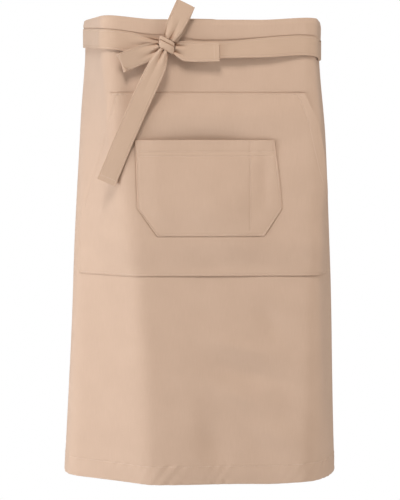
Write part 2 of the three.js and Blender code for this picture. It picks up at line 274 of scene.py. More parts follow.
def worn(s, drop, out=0.0):
    s, drop, out = np.broadcast_arrays(*(np.asarray(x, float) for x in (s, drop, out)))
    lift = np.where(s < 0, LIFT.left, LIFT.right) * between(np.abs(s), LIFT.begin, LIFT.full)
    lift = lift * (1 - between(drop, 0, LIFT.fade))
    hem = between(s, HEM_LIFT.begin, HEM_LIFT.full) * between(drop, HEM_LIFT.start, APRON_LENGTH)
    lift = lift + HEM_LIFT.depth * hem
    flat_place = np.stack([on_chart(chart_x, s, drop), on_chart(chart_y, s, drop), TOP_Z - drop + lift], -1)
    return flat_place + outward(s, drop) * (out + relief(s, drop))[..., None]


print("front of the hem:", worn(0.0, APRON_LENGTH).round(4))

# %% [markdown]
# ## Materials
# The apron is one piece-dyed twill: diagonal ridges under a millimetre apart, yarns of uneven thickness,
# and a faint cloudiness from the dye. An image could carry that, but maths on the flat pattern's
# coordinates keeps the weave square to the cloth at every fold. A small class lets the node maths read as
# plain sums.

# %% A value that adds Math nodes
class Value:
    def __init__(self, recipe, socket):
        self.recipe = recipe
        self.socket = socket

    def __getitem__(self, output):
        return Value(self.recipe, self.socket.node.outputs[output])

    def sum_of(self, operation, other):
        return self.recipe.node("ShaderNodeMath", {"operation": operation}, {0: self, 1: other})

    def __add__(self, other):
        return self.sum_of("ADD", other)

    def __sub__(self, other):
        return self.sum_of("SUBTRACT", other)

    def __mul__(self, other):
        return self.sum_of("MULTIPLY", other)

    __radd__, __rmul__ = __add__, __mul__


# %% A recipe of nodes
class Recipe:
    def __init__(self, holder, shader="Principled BSDF"):
        holder.use_nodes = True
        self.holder = holder
        self.tree = holder.node_tree
        self.shader = self.tree.nodes[shader]

    def node(self, kind, settings, sockets):
        made = self.tree.nodes.new(kind)
        for name, value in settings.items():
            setattr(made, name, value)
        for name, value in sockets.items():
            self.feed(made.inputs[name], value)
        return Value(self, next(socket for socket in made.outputs if socket.enabled))

    def feed(self, socket, value):
        if isinstance(value, Value):
            self.tree.links.new(value.socket, socket)
        else:
            socket.default_value = value

    def noise(self, vector, scale, detail):
        return self.node("ShaderNodeTexNoise", {}, {"Vector": vector, "Scale": scale, "Detail": detail})

    def mix(self, factor, dark, light):
        return self.node("ShaderNodeMix", {"data_type": "RGBA"}, {0: factor, 6: dark, 7: light})

    def finish(self, **sockets):
        for name, value in sockets.items():
            self.feed(self.shader.inputs[name.replace("_", " ")], value)
        return self.holder


# %% [markdown]
# The twill's tone is a sum of three small things: the diagonal ridges, the uneven yarns along the length,
# and the clouds of the dye. The same ridges and yarns give the bump, and the clouds vary the roughness.

# %% The twill and its thread
CLOTH_MAP = "cloth"
TWILL_PITCH = 0.0009
YARN_SCALE = (900, 45, 1)
CLOUD_SCALE = 22.0
FLECK_SCALE = 1500.0
TONE = Sizes(ridge=0.07, yarn=0.5, cloud=0.7)
WEAVE_BUMP = {"Strength": 0.35, "Distance": 0.00015}


def linear(red, green, blue):
    # the sRGB curve, from screen values to amounts of light
    return (*(((c / 255 + 0.055) / 1.055) ** 2.4 for c in (red, green, blue)), 1.0)


def twill(name, light, dark):
    recipe = Recipe(bpy.data.materials.new(name))
    flat = recipe.node("ShaderNodeUVMap", {"uv_map": CLOTH_MAP}, {})
    parts = recipe.node("ShaderNodeSeparateXYZ", {}, {"Vector": flat})
    diagonal = (parts["X"] + parts["Y"]) * (2 * math.pi / TWILL_PITCH)
    ridge = recipe.node("ShaderNodeMath", {"operation": "SINE"}, {0: diagonal})
    stretched = recipe.node("ShaderNodeVectorMath", {"operation": "MULTIPLY"}, {0: flat, 1: YARN_SCALE})
    yarn = recipe.noise(stretched, scale=1.0, detail=2.0)
    cloud = recipe.noise(flat, CLOUD_SCALE, detail=3.0)
    tone = 0.5 + TONE.ridge * ridge + TONE.yarn * (yarn - 0.5) + TONE.cloud * (cloud - 0.5)
    colour = recipe.mix(tone, dark, light)
    bump = recipe.node("ShaderNodeBump", {}, {"Height": 0.5 * ridge + yarn, **WEAVE_BUMP})
    return recipe.finish(
        Base_Color=colour, Roughness=0.8 + 0.2 * cloud, Normal=bump,
        Sheen_Weight=0.15, Sheen_Roughness=0.45, Specular_IOR_Level=0.2,
    )


def thread(name, light, dark):
    recipe = Recipe(bpy.data.materials.new(name))
    place = recipe.node("ShaderNodeTexCoord", {}, {})["Object"]
    fleck = recipe.noise(place, FLECK_SCALE, detail=2.0)
    colour = recipe.mix(fleck, dark, light)
    return recipe.finish(Base_Color=colour, Roughness=0.55 + 0.2 * fleck, Specular_IOR_Level=0.35)


apron_twill = twill("apron_twill", linear(211, 180, 157), linear(197, 166, 143))
# the ties and the bow are cut from the apron's own twill; their colours are painted a little darker, as
# painted shade over the ties and the bow
tie_twill = twill("tie_twill", linear(208, 177, 153), linear(194, 163, 139))
sewing_thread = thread("sewing_thread", linear(233, 209, 189), linear(208, 181, 159))
print("materials:", apron_twill.name, tie_twill.name, sewing_thread.name)

# %% [markdown]
# ## Making a piece
# Every piece is a closed skin round two grids of points: the face that shows and the one behind it. Quads
# between the grids' rims close it. The flat pattern goes along as a UV map, so the weave knows its
# direction.

# %% Skins
def grid_faces(ids):
    return np.stack([ids[:-1, :-1], ids[1:, :-1], ids[1:, 1:], ids[:-1, 1:]], -1).reshape(-1, 4)


def skin(outer, inner):
    ids = np.arange(outer[..., 0].size).reshape(outer.shape[:2])
    rim = join([ids[0, :-1], ids[:-1, -1], ids[-1, :0:-1], ids[:0:-1, 0]])
    ahead = np.roll(rim, -1)
    edge = np.stack([rim, ahead, ahead + ids.size, rim + ids.size], -1)
    faces = join([grid_faces(ids), grid_faces(ids + ids.size)[:, ::-1], edge])
    return join([outer.reshape(-1, 3), inner.reshape(-1, 3)]), faces


def both_sides(u, v):
    return np.tile(np.stack([u, v], -1).reshape(-1, 2), (2, 1))


# %% Calls that place a piece in the frame
SHARP = math.radians(52)
CLOTHS = {"apron_twill": apron_twill, "tie_twill": tie_twill}


def put(name, data):
    thing = bpy.data.objects.new(name, data)
    scene.collection.objects.link(thing)
    return thing


def new_object(name, points, faces, material, flat=None):
    mesh = bpy.data.meshes.new(name)
    mesh.from_pydata(points.tolist(), [], faces.tolist())
    if flat is not None:
        corner = np.empty(len(mesh.loops), np.int32)
        mesh.loops.foreach_get("vertex_index", corner)
        layer = mesh.uv_layers.new(name=CLOTH_MAP)
        layer.uv.foreach_set("vector", flat[corner].astype(np.float32).ravel())
    mesh.shade_smooth()
    mesh.set_sharp_from_angle(angle=SHARP)
    mesh.materials.append(material)
    piece = put(name, mesh)
    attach(piece, "root")
    print(f"{name}: {len(mesh.polygons)} faces")
    return piece


def dress(node, points, faces, flat, slot):
    piece = new_object(f"{node}_cloth", points, faces, CLOTHS[slot], flat)
    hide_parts(node)
    return piece


# %% [markdown]
# ## Seams
# A lockstitch pulls the layers together: the cloth dips along the line and puckers beside it. Dips in the
# grid show that from any side, where bump alone would look printed. The stitches are little spindles of
# five rings, joined into one mesh for each piece.

# %% Lines and dips
DIP = Sizes(depth=0.00045, reach=0.0014, pucker=0.00016, spread=0.006)
RIPPLE = Sizes(across=830, down=770, wander_across=270, wander_down=310, sway=2, swing=1.3)
GROOVE = Sizes(depth=0.00042, at=0.0007, reach=0.0007)


def line(*points):
    return np.array(points, float)


def level_line(drop, left, right):
    return line((left, drop), (right, drop))


def from_line(points, s, drop):
    place = np.stack(np.broadcast_arrays(s, drop), -1)
    nearest = np.full(place.shape[:-1], np.inf)
    for a, b in zip(points[:-1], points[1:]):
        run = b - a
        t = np.clip(((place - a) @ run) / (run @ run), 0, 1)
        nearest = np.minimum(nearest, np.linalg.norm(place - a - t[..., None] * run, axis=-1))
    return nearest


def dips(lines, s, drop, pull=1.0, sink=1.0):
    depth = np.zeros(np.broadcast(s, drop).shape)
    ripple = np.sin(s * RIPPLE.across + RIPPLE.sway * np.sin(drop * RIPPLE.wander_down))
    ripple = ripple * np.sin(drop * RIPPLE.down + RIPPLE.swing * np.sin(s * RIPPLE.wander_across))
    for points in lines:
        away = from_line(points, s, drop)
        depth -= sink * DIP.depth * hump(away / DIP.reach)
        depth += pull * DIP.pucker * ripple * hump(away / DIP.spread)
    return depth


def groove(points, s, drop):
    return -GROOVE.depth * hump((from_line(points, s, drop) - GROOVE.at) / GROOVE.reach)


# %% Rows of stitches
STITCH = Sizes(length=0.0026, pitch=0.0034, radius=0.00036, lift=0.0001, probe=0.001)
RINGS = ((-1, 0.3), (-0.65, 0.85), (0, 1), (0.65, 0.85), (1, 0.3))
SIDES = np.radians([45, 135, 225, 315])
print("a stitch every", STITCH.pitch, "m")


def spaced(points, pitch):
    lengths = length_along(points)
    at = np.arange(pitch / 2, lengths[-1], pitch)
    return at, lambda x: np.stack([np.interp(x, lengths, points[:, k]) for k in (0, 1)], -1)


def stitches(node, lines, place):
    ids = np.arange(len(RINGS) * len(SIDES)).reshape(len(RINGS), -1)
    around = join([ids, ids[:, :1]], axis=1)
    spindle = join([grid_faces(around), [ids[0], ids[-1, ::-1]]])
    points = []
    for flat_line in lines:
        at, along = spaced(flat_line, STITCH.pitch)
        start, middle, end = (along(at + k * STITCH.length / 2).T for k in (-1, 0, 1))
        centre = place(*middle, 0.0)
        up = unit(place(*middle, STITCH.probe) - centre)
        run = (place(*end, 0.0) - place(*start, 0.0)) / 2
        side = unit(np.cross(run, up))
        rings = [
            centre + run * way + STITCH.radius * swell * (math.cos(a) * side + math.sin(a) * up)
            for way, swell in RINGS for a in SIDES
        ]
        points.append(np.stack(rings, axis=1).reshape(-1, 3))
    points = join(points)
    first = np.arange(0, len(points), ids.size)
    faces = (first[:, None, None] + spindle).reshape(-1, 4)
    piece = new_object(f"{node}_stitching", points, faces, sewing_thread)
    return piece


# %% [markdown]
# Grids are evenly spaced, with closer rows beside a hem or a seam, so that a narrow dip has points enough.
# An edge that is turned under is round, so the face rolls back over its last millimetre. The panel, the
# pouch and the pocket are all sewn in this way, so one function makes each of them.

# %% Closer rows at seams, rolled edges and a sewn patch
BESIDE = np.array([-0.0034, -0.0018, -0.0009, -0.0004, 0, 0.0004, 0.0009, 0.0018, 0.0034])
LEAST_STEP = 0.00025
ROLL = 0.0007
ROLL_START = 0.02


def spread(start, end, step, *seams):
    even = np.linspace(start, end, max(2, round((end - start) / step) + 1))
    close = [seam + BESIDE for seam in seams]
    every = np.unique(join([even, *close]).round(5))
    every = every[(every >= start) & (every <= end)]
    keep = join([[True], np.diff(every) > LEAST_STEP])
    keep[-1] = True
    return every[keep]


def rolled(distance):
    return np.sqrt(1 - (1 - np.clip(distance / ROLL, ROLL_START, 1)) ** 2)


def sew(node, lines, face):
    return stitches(node, lines, lambda s, d, up: worn(s, d, face(s, d) + STITCH.lift + up))


def sew_patch(node, s, drop, from_edge, front, back, lines, face):
    middle = (front + back) / 2
    edge = rolled(from_edge)
    layers = [worn(s, drop, lerp(middle, side, edge)) for side in (front, back)]
    piece = dress(node, *skin(*layers), both_sides(s, drop), "apron_twill")
    return piece, sew(node, lines, face)


# %% [markdown]
# ## The skirt panel
# The main panel is one width of twill with a deep hem at its foot and narrow hems down its back edges. It
# is a grid on the flat pattern, worn. The hems double the cloth on the inside, as turned hems do.

# %% Hems and seams of the skirt panel
SIDE_HEM = Sizes(width=0.012, begin=0.045)
HEM_ROPES = Sizes(pitch=0.018, lean=0.7, depth=0.0008, above=0.008, wander=0.004, bends=61)
ROPE_STRENGTH = Sizes(mean=0.55, varies=0.45, waves=47, drift=1.7, drifts=23)
HEM_TURN = Sizes(above=0.008, depth=0.0032, at=0.025, wide=0.15)
POUCH_TOP, POUCH_FOOT = 0.112, 0.393
POUCH_TOP_SEAM, POUCH_FOOT_SEAM = (-0.15, 0.15), (-0.226, 0.233)
hem_line = APRON_LENGTH - HEM_DEPTH
edge_line = HALF_PANEL - SIDE_HEM.width
panel_lines = [level_line(hem_line, -edge_line, edge_line)]
panel_lines += [line((at, SIDE_HEM.begin), (at, hem_line)) for at in (-edge_line, edge_line)]
pouch_ends = [level_line(POUCH_TOP, *POUCH_TOP_SEAM), level_line(POUCH_FOOT, *POUCH_FOOT_SEAM)]


def hem_ropes(s, drop):
    along = s + HEM_ROPES.lean * (drop - hem_line) + HEM_ROPES.wander * np.sin(s * HEM_ROPES.bends)
    drift = ROPE_STRENGTH.drift * np.sin(s * ROPE_STRENGTH.drifts)
    strength = ROPE_STRENGTH.mean + ROPE_STRENGTH.varies * np.sin(s * ROPE_STRENGTH.waves + drift)
    across = between(drop, hem_line - HEM_ROPES.above, hem_line)
    return HEM_ROPES.depth * strength * across * np.sin(2 * np.pi * along / HEM_ROPES.pitch)


def hem_turn(s, drop):
    start = hem_line - HEM_TURN.above
    down = np.clip((drop - start) / (APRON_LENGTH - start), 0, 1) ** 2
    return -HEM_TURN.depth * down * hump((s - HEM_TURN.at) / HEM_TURN.wide)


def panel_face(s, drop):
    sewn = dips(panel_lines, s, drop, pull=2.5, sink=0.5)
    sewn = sewn + sum(groove(points, s, drop) for points in pouch_ends)
    return sewn + hem_ropes(s, drop) + hem_turn(s, drop)


print("hem sewn at a drop of", round(hem_line, 3), "m")

# %% The skirt panel
PANEL_TUCK = 0.003
PANEL_STEP = Sizes(across=0.0045, down=0.0055)
HEM_FOLD = Sizes(cloth=0.001, reach=0.002)
BESIDE_POUCH = 0.001
edges = (-HALF_PANEL, -edge_line, edge_line, HALF_PANEL)
seams = (hem_line, APRON_LENGTH, POUCH_TOP - BESIDE_POUCH, POUCH_FOOT + BESIDE_POUCH)
s, drop = np.meshgrid(
    spread(-HALF_PANEL, HALF_PANEL, PANEL_STEP.across, *edges),
    spread(PANEL_TUCK, APRON_LENGTH, PANEL_STEP.down, *seams),
)
from_edge = np.minimum(APRON_LENGTH - drop, HALF_PANEL - np.abs(s))
doubled = np.maximum(
    between(drop, hem_line - HEM_FOLD.reach, hem_line),
    between(np.abs(s), edge_line - HEM_FOLD.reach, edge_line),
)
front = panel_face(s, drop)
back = np.minimum(front, 0) - HEM_FOLD.cloth - HEM_FOLD.cloth * doubled
skirt, skirt_sewing = sew_patch("skirt_panel", s, drop, from_edge, front, back, panel_lines, panel_face)

# %% [markdown]
# ## Where the ties lie
# The ties come round over the waistband, which bulges a little above them, so their routes are needed
# first. A row says where along the band a tie is, how low, how far off the cloth, how wide, how deep in
# pleats, and how far its lower edge is tilted out.

# %% Routes of the ties on the band
KNOT_AT = -0.0635
LEFT_TIE = table(
    "at drop out width pleat tilt",
    (-HALF_PANEL, 0.02, TIE_REST, 0.03, 0, 0),
    (-0.33, 0.025, TIE_REST, 0.03, 0, 0),
    (-0.235, 0.03, TIE_REST, 0.03, 0, 0),
    (-0.15, 0.0353, TIE_REST, 0.03, 0, 0.02),
    (-0.114, 0.0375, 0.0031, 0.0295, 0.0001, 0.03),
    (-0.096, 0.0382, 0.0041, 0.0245, 0.0019, 0.03),
    (-0.0755, 0.039, 0.0052, 0.016, 0.0038, 0),
)
RIGHT_TIE = table(
    "at drop out width pleat tilt",
    (-0.051, 0.041, 0.0056, 0.015, 0.0024, 0),
    (-0.034, 0.044, 0.0052, 0.022, 0.0014, 0.08),
    (-0.012, 0.0468, 0.0052, 0.028, 0.0003, 0.15),
    (0.03, 0.0462, 0.0082, 0.027, 0, 0.26),
    (0.095, 0.0424, 0.0064, 0.0312, 0, 0.17),
    (0.15, 0.0414, 0.0034, 0.0306, 0, 0.03),
    (0.205, 0.0472, TIE_REST, 0.03, 0, 0),
    (0.28, 0.042, TIE_REST, 0.03, 0, 0),
    (0.35, 0.029, TIE_REST, 0.03, 0, 0),
    (HALF_PANEL, 0.02, TIE_REST, 0.03, 0, 0),
)
print("knot at", KNOT_AT, "m from the middle")

# %% [markdown]
# ## The waistband
# The waistband is a strip folded over the panel's top edge and stitched through all layers. Its section
# is a hairpin: up the inside, round a small fold and down the outside. One grid along it makes the band.

# %% The waistband
BAND_ROWS = 40
BAND_FOLD_ROWS = 11
BAND_STEP = 0.005
BAND_SEAM = level_line(0.037, -0.425, 0.425)
BAND_BULGE = Sizes(depth=0.0013, begin=0.0016, to=0.0004, start=0.001, full=0.009)
leaf = CLOTH / 2 + SEAM_GAP
leaf_rows = BAND_ROWS - 1
band_radius = leaf + BAND_CLOTH
down = np.linspace(BAND_HEIGHT, band_radius, BAND_ROWS)
turn = np.radians(np.linspace(-90, 90, BAND_FOLD_ROWS))
columns = spread(-HALF_PANEL, HALF_PANEL, BAND_STEP)


def band_bulge(s, drop):
    tie_drop = np.where(s < KNOT_AT, follow(LEFT_TIE, s)["drop"], follow(RIGHT_TIE, s)["drop"])
    tie_top = tie_drop - TIE_WIDTH / 2
    above = 1 - between(drop, tie_top - BAND_BULGE.begin, tie_top + BAND_BULGE.to)
    return BAND_BULGE.depth * above * between(drop, BAND_BULGE.start, BAND_BULGE.full)


def band_grid(radius):
    side = join([np.full(leaf_rows, -1.0), np.sin(turn), np.full(leaf_rows, 1.0)])
    low = join([down[:-1], band_radius - radius * np.cos(turn), down[::-1][1:]])
    s, drop = np.meshgrid(columns, low)
    outside = (np.arange(len(low)) >= leaf_rows + BAND_FOLD_ROWS)[:, None]
    return worn(s, drop, (side * radius + BAND_MIDDLE)[:, None] + outside * band_bulge(s, drop))


along = join([down[:-1], np.zeros(BAND_FOLD_ROWS), -down[::-1][1:]])
points, faces = skin(band_grid(band_radius)[::-1], band_grid(leaf)[::-1])
flat = both_sides(*np.meshgrid(columns, along))
band = dress("waistband", points, faces[:, ::-1], flat, "apron_twill")
band_sewing = sew("waistband", [BAND_SEAM], lambda s, d: BAND_FACE)

# %% [markdown]
# ## Two patches
# The pouch and the pocket on it are cut by an outline: levels, with the left and the right edge at each.
# The pocket's comes first, because the pouch has a groove where the pocket is sewn to it.

# %% Where the pocket is sewn to the pouch
AREA_ROWS = 400
POCKET_OUTLINE = table(
    "drop left right",
    (0.184, -0.112, 0.102), (0.212, -0.1102, 0.1058), (0.251, -0.1092, 0.1106),
    (0.2895, -0.1072, 0.1137), (0.331, -0.078, 0.0865),
)
pocket_mouth = POCKET_OUTLINE["drop"][0]
pocket_foot = POCKET_OUTLINE["drop"][-1]


def pocket_sides(drop):
    row = follow(POCKET_OUTLINE, drop, straight=True)
    return row["left"], row["right"]


def pocket_edge(inset):
    left = np.stack([POCKET_OUTLINE["left"] + inset, POCKET_OUTLINE["drop"]], -1)
    right = np.stack([POCKET_OUTLINE["right"] - inset, POCKET_OUTLINE["drop"]], -1)
    ring = join([left, right[::-1]])
    ring[:, 1] = np.minimum(ring[:, 1], pocket_foot - inset)
    return ring


def flat_size(outline, sides):
    top, foot = outline["drop"][[0, -1]]
    left, right = sides(np.linspace(top, foot, AREA_ROWS))
    return outline["right"].max() - outline["left"].min(), np.mean(right - left) * (foot - top)


pocket_width, pocket_area = flat_size(POCKET_OUTLINE, pocket_sides)
print(f"pocket: flat area {pocket_area:.4f} square metres")

# %% [markdown]
# ## The pouch
# The pouch is a wide patch sewn on along its top, its lower sides and its foot. Its slanted upper sides
# stay open for the hands, and their edges have a turned hem. It stands off the panel between its seams,
# as used cloth does, and its foot stands off a little too, so that it throws a thin shadow.

# %% The pouch's form
POUCH_OUTLINE = table(
    "drop left right",
    (POUCH_TOP, -0.151, 0.151), (0.157, -0.163, 0.168), (0.202, -0.19, 0.177), (0.247, -0.216, 0.187),
    (0.284, -0.232, 0.209), (0.298, -0.234, 0.216), (0.368, -0.232, 0.231), (POUCH_FOOT, -0.229, 0.236),
)
POUCH_SIDE_SEAM = 0.284
POUCH_SEAM = Sizes(top=0.036, foot=0.055, side=0.08, corner=0.018)
POUCH_SWELLS = table(
    "at wide drop reach depth",
    (0, 0.095, 0.188, 0.021, -0.0056),
    (0.168, 0.042, 0.23, 0.13, 0.0042),
)
POUCH_GAPE = Sizes(at=0.012, wide=0.06, begin=0.379, depth=0.0013)
POUCH_MOUTH = Sizes(begin=0.12, stand=0.5, hem=0.013, fold=0.0012, ridge=0.0003)


def pouch_sides(drop):
    row = follow(POUCH_OUTLINE, drop)
    return row["left"], row["right"]


def pouch_half(s, drop):
    left, right = pouch_sides(drop)
    return np.where(s < 0, -left, right)


def pouch_stand(s, drop):
    half = pouch_half(s, drop)
    held = between(drop, POUCH_SIDE_SEAM - POUCH_SEAM.corner, POUCH_SIDE_SEAM + POUCH_SEAM.corner)
    opened = lerp(1, POUCH_MOUTH.stand, between(np.abs(s), POUCH_MOUTH.begin, half))
    from_side = lerp(opened, between(half - np.abs(s), 0, POUCH_SEAM.side), held)
    from_ends = between(drop, POUCH_TOP, POUCH_TOP + POUCH_SEAM.top)
    from_ends = from_ends * between(POUCH_FOOT - drop, 0, POUCH_SEAM.foot)
    return SEWN + POUCH_ROOM * from_ends * from_side


def pouch_sag(s, drop):
    gape = POUCH_GAPE.depth * hump((s - POUCH_GAPE.at) / POUCH_GAPE.wide)
    sag = gape * between(drop, POUCH_GAPE.begin, POUCH_FOOT)
    for at, wide, low, reach, depth in zip(*POUCH_SWELLS.values()):
        sag = sag + depth * hump((s - at) / wide) * hump((drop - low) / reach)
    return sag


pouch_width, pouch_area = flat_size(POUCH_OUTLINE, pouch_sides)
print(f"pouch: flat area {pouch_area:.4f} square metres")

# %% Seams of the pouch
EDGE_STITCH = 0.0022
TOP_ROW = (-0.146, 0.146)
MOUTH_ROW = (0.116, 0.29)
SIDE_POINTS = 24
mouth_hem = POUCH_MOUTH.hem
top_stitch, foot_stitch = POUCH_TOP + EDGE_STITCH, POUCH_FOOT - EDGE_STITCH


def pouch_side(way, inset, low, high):
    drop = np.linspace(low, high, SIDE_POINTS)
    return np.stack([way * (pouch_half(way, drop) - inset), drop], -1)


pouch_lines = [level_line(top_stitch, *TOP_ROW), level_line(foot_stitch, *POUCH_FOOT_SEAM)]
for way in (-1, 1):
    pouch_lines.append(pouch_side(way, mouth_hem, *MOUTH_ROW))
    pouch_lines.append(pouch_side(way, EDGE_STITCH, POUCH_SIDE_SEAM, foot_stitch))


def pouch_face(s, drop):
    hem = between(pouch_half(s, drop) - np.abs(s), mouth_hem + POUCH_MOUTH.fold, mouth_hem)
    hem = hem * (drop < POUCH_SIDE_SEAM)
    sewn = dips(pouch_lines, s, drop) + groove(pocket_edge(0), s, drop)
    return pouch_stand(s, drop) + pouch_sag(s, drop) + CLOTH + POUCH_MOUTH.ridge * hem + sewn


print(len(pouch_lines), "rows of stitches on the pouch")

# %% [markdown]
# The pouch's grid follows its outline and the pocket's at once: its columns crowd at the hems of the
# openings and along the groove beside the pocket, and spread out evenly in between.

# %% The pouch
POUCH_GRID = Sizes(hem=0.0186, outside=0.0042, inside=0.0034, sides=22, middle=54, down=0.0035)
BELOW_POCKET = 0.0015
HEM_COLUMNS = np.array([
    0, 0.0004, 0.0009, 0.0018, 0.0022, 0.0026, 0.0031, 0.0042, 0.0064, 0.009, 0.0112, 0.0121, 0.0126,
    0.013, 0.0134, 0.0139, 0.0148, 0.0166,
])
POCKET_COLUMNS = np.array([0.0032, 0.0022, 0.0016, 0.001, 0.0005, 0, -0.0006, -0.0016])


def pouch_columns(drops):
    left, right, a, b = (side[:, None] for side in (*pouch_sides(drops), *pocket_sides(drops)))
    hem, outside, inside = POUCH_GRID.hem, POUCH_GRID.outside, POUCH_GRID.inside
    part, main = (np.linspace(0, 1, count) for count in (POUCH_GRID.sides, POUCH_GRID.middle))
    return join([
        left + HEM_COLUMNS, lerp(left + hem, a - outside, part), a - POCKET_COLUMNS,
        lerp(a + inside, b - inside, main),
        b + POCKET_COLUMNS[::-1], lerp(b + outside, right - hem, part), right - HEM_COLUMNS[::-1],
    ], axis=1)


seams = (POUCH_TOP, top_stitch, foot_stitch, POUCH_FOOT, pocket_foot, pocket_foot + BELOW_POCKET)
drops = spread(POUCH_TOP, POUCH_FOOT, POUCH_GRID.down, *seams)
s = pouch_columns(drops)
drop = np.broadcast_to(drops[:, None], s.shape)
from_edge = np.minimum(np.minimum(drop - POUCH_TOP, POUCH_FOOT - drop), pouch_half(s, drop) - np.abs(s))
front = pouch_face(s, drop)
back = np.minimum(pouch_stand(s, drop) + pouch_sag(s, drop), front - CLOTH)
pouch, pouch_sewing = sew_patch("pouch", s, drop, from_edge, front, back, pouch_lines, pouch_face)

# %% [markdown]
# ## The patch pocket
# The pocket is a smaller patch with cut corners, a row of stitching round its edge, a deep hem at its
# mouth that is held by two rows, and one more seam that parts a slot for a pen. It stands off the pouch
# in the middle of each compartment. Its grid is made of two strips, one at each side of that seam.

# %% Seams of the patch pocket
POCKET_SEAM = Sizes(foot=0.04, side=0.034, edge=0.018, pen=0.07, slot=0.4)
POCKET_HEM = Sizes(depth=0.025, gap=0.007, ends=(-0.104, 0.1))
PEN_ROW = line((PEN_SEAM, 0.185), (PEN_SEAM, 0.324))


def pocket_stand(s, drop):
    left, right = pocket_sides(drop)
    from_sides = between(s - left, 0, POCKET_SEAM.side) * between(right - s, 0, POCKET_SEAM.edge)
    slot = POCKET_SEAM.slot * between(s - PEN_SEAM, 0, POCKET_SEAM.edge)
    from_pen = np.where(s < PEN_SEAM, between(PEN_SEAM - s, 0, POCKET_SEAM.pen), slot)
    rise = between(pocket_foot - drop, 0, POCKET_SEAM.foot) * from_sides * from_pen
    return pouch_stand(s, drop) + CLOTH + SEWN + POCKET_ROOM * rise


hem_stitch = pocket_mouth + POCKET_HEM.depth
hem_rows = (hem_stitch, hem_stitch - POCKET_HEM.gap)
pocket_lines = [pocket_edge(EDGE_STITCH), PEN_ROW]
pocket_lines += [level_line(row, *POCKET_HEM.ends) for row in hem_rows]


def pocket_face(s, drop):
    return pocket_stand(s, drop) + CLOTH + dips(pocket_lines, s, drop)


print(len(pocket_lines), "rows of stitches on the pocket")

# %% The patch pocket
MAIN_STRIP = Sizes(width=0.176, step=0.024, begin=0)
PEN_STRIP = Sizes(width=0.045, step=0.09, begin=0.002)
POCKET_STEP = 0.0032


def strip_parts(strip, stitch):
    close = BESIDE / strip.width
    every = join([spread(0, 1, strip.step), close, stitch + close, 1 + close])
    return np.unique(every[(every >= strip.begin) & (every <= 1)].round(4))


main = strip_parts(MAIN_STRIP, EDGE_STITCH / MAIN_STRIP.width)
pen = strip_parts(PEN_STRIP, 1 - EDGE_STITCH / PEN_STRIP.width)
seams = (pocket_mouth, *hem_rows, pocket_foot - EDGE_STITCH, pocket_foot)
drops = spread(pocket_mouth, pocket_foot, POCKET_STEP, *seams)
left, right = (side[:, None] for side in pocket_sides(drops))
s = join([lerp(left, PEN_SEAM, main[None, :]), lerp(PEN_SEAM, right, pen[None, :])], axis=1)
drop = np.broadcast_to(drops[:, None], s.shape)
from_ends = np.minimum(drop - pocket_mouth, pocket_foot - drop)
from_edge = np.minimum(np.minimum(s - left, right - s), from_ends)
front, back = pocket_face(s, drop), pocket_stand(s, drop)
pocket, pocket_sewing = sew_patch(
    "patch_pocket", s, drop, from_edge, front, back, pocket_lines, pocket_face
)

# %% [markdown]
# ## Ribbons for the ties and the bow
# A tie is a long strip folded double and stitched along both edges. Where it runs into the knot it is
# squeezed into pleats. One function sweeps that section along a line of stations. The pleats are pushed
# to the front whichever way the strip runs, so that the two layers of a loop nest and don't cut.

# %% A swept ribbon
EDGE_COLUMNS = np.array([0.5, 0.494, 0.482, 0.462])
MIDDLE_COLUMNS = np.linspace(-0.435, 0.435, 31)
ACROSS = join([-EDGE_COLUMNS, MIDDLE_COLUMNS, EDGE_COLUMNS[::-1]])
PLEATS = 2
TIE_STITCH = Sizes(inset=0.0026, end=0.004, hem=0.008, hem_half=0.012, sink=0.0001)
TIE_DIP = Sizes(depth=0.00035, reach=0.001, pleat=0.001)


def folds_of(t, phase):
    return 2 * np.abs(np.sin(np.pi * PLEATS * t + phase)) - 1


def ribbon_frame(stations):
    run = unit(np.gradient(stations["middle"], axis=0))
    sideways = unit(stations["across"] - run * np.sum(stations["across"] * run, -1, keepdims=True))
    face = np.cross(run, sideways)
    return sideways, face, np.sign(np.sum(face * stations["out"], -1, keepdims=True))


def ribbon_place(stations, side):
    sideways, face, ahead = ribbon_frame(stations)
    t = ACROSS[None, :]
    width, pleat, phase = (stations[key][:, None] for key in ("width", "pleat", "phase"))
    inset = (0.5 - np.abs(t)) * width
    seam = TIE_DIP.depth * hump((inset - TIE_STITCH.inset) / TIE_DIP.reach)
    seam = seam * (1 - np.clip(pleat / TIE_DIP.pleat, 0, 1))
    half = (TIE_CLOTH / 2) * rolled(inset) - seam
    height = ahead * (pleat * folds_of(t, phase)) + side * half
    flat_place = stations["middle"][:, None, :] + sideways[:, None, :] * (t * width)[..., None]
    return flat_place + face[:, None, :] * height[..., None]


# %% Stitches along a ribbon
def ribbon_stitches(node, stations, length, hemmed_end):
    sideways, face, ahead = ribbon_frame(stations)
    columns = {**stations, "sideways": sideways, "face": face * ahead}

    def place(across, along, up):
        at = {}
        for key, column in columns.items():
            rows = column.reshape(len(length), -1).T
            at[key] = np.stack([np.interp(along, length, row) for row in rows], -1)
        t = across[:, None] / TIE_WIDTH
        height = at["pleat"] * folds_of(t, at["phase"]) + TIE_CLOTH / 2 - TIE_STITCH.sink + up
        return at["middle"] + at["sideways"] * (t * at["width"]) + at["face"] * height

    edge = TIE_WIDTH / 2 - TIE_STITCH.inset
    start, end = TIE_STITCH.end, length[-1] - TIE_STITCH.end
    lines = [line((side * edge, start), (side * edge, end)) for side in (-1, 1)]
    if hemmed_end:
        half = TIE_STITCH.hem_half
        lines.append(level_line(length[-1] - TIE_STITCH.hem, -half, half))
    return stitches(node, lines, place)


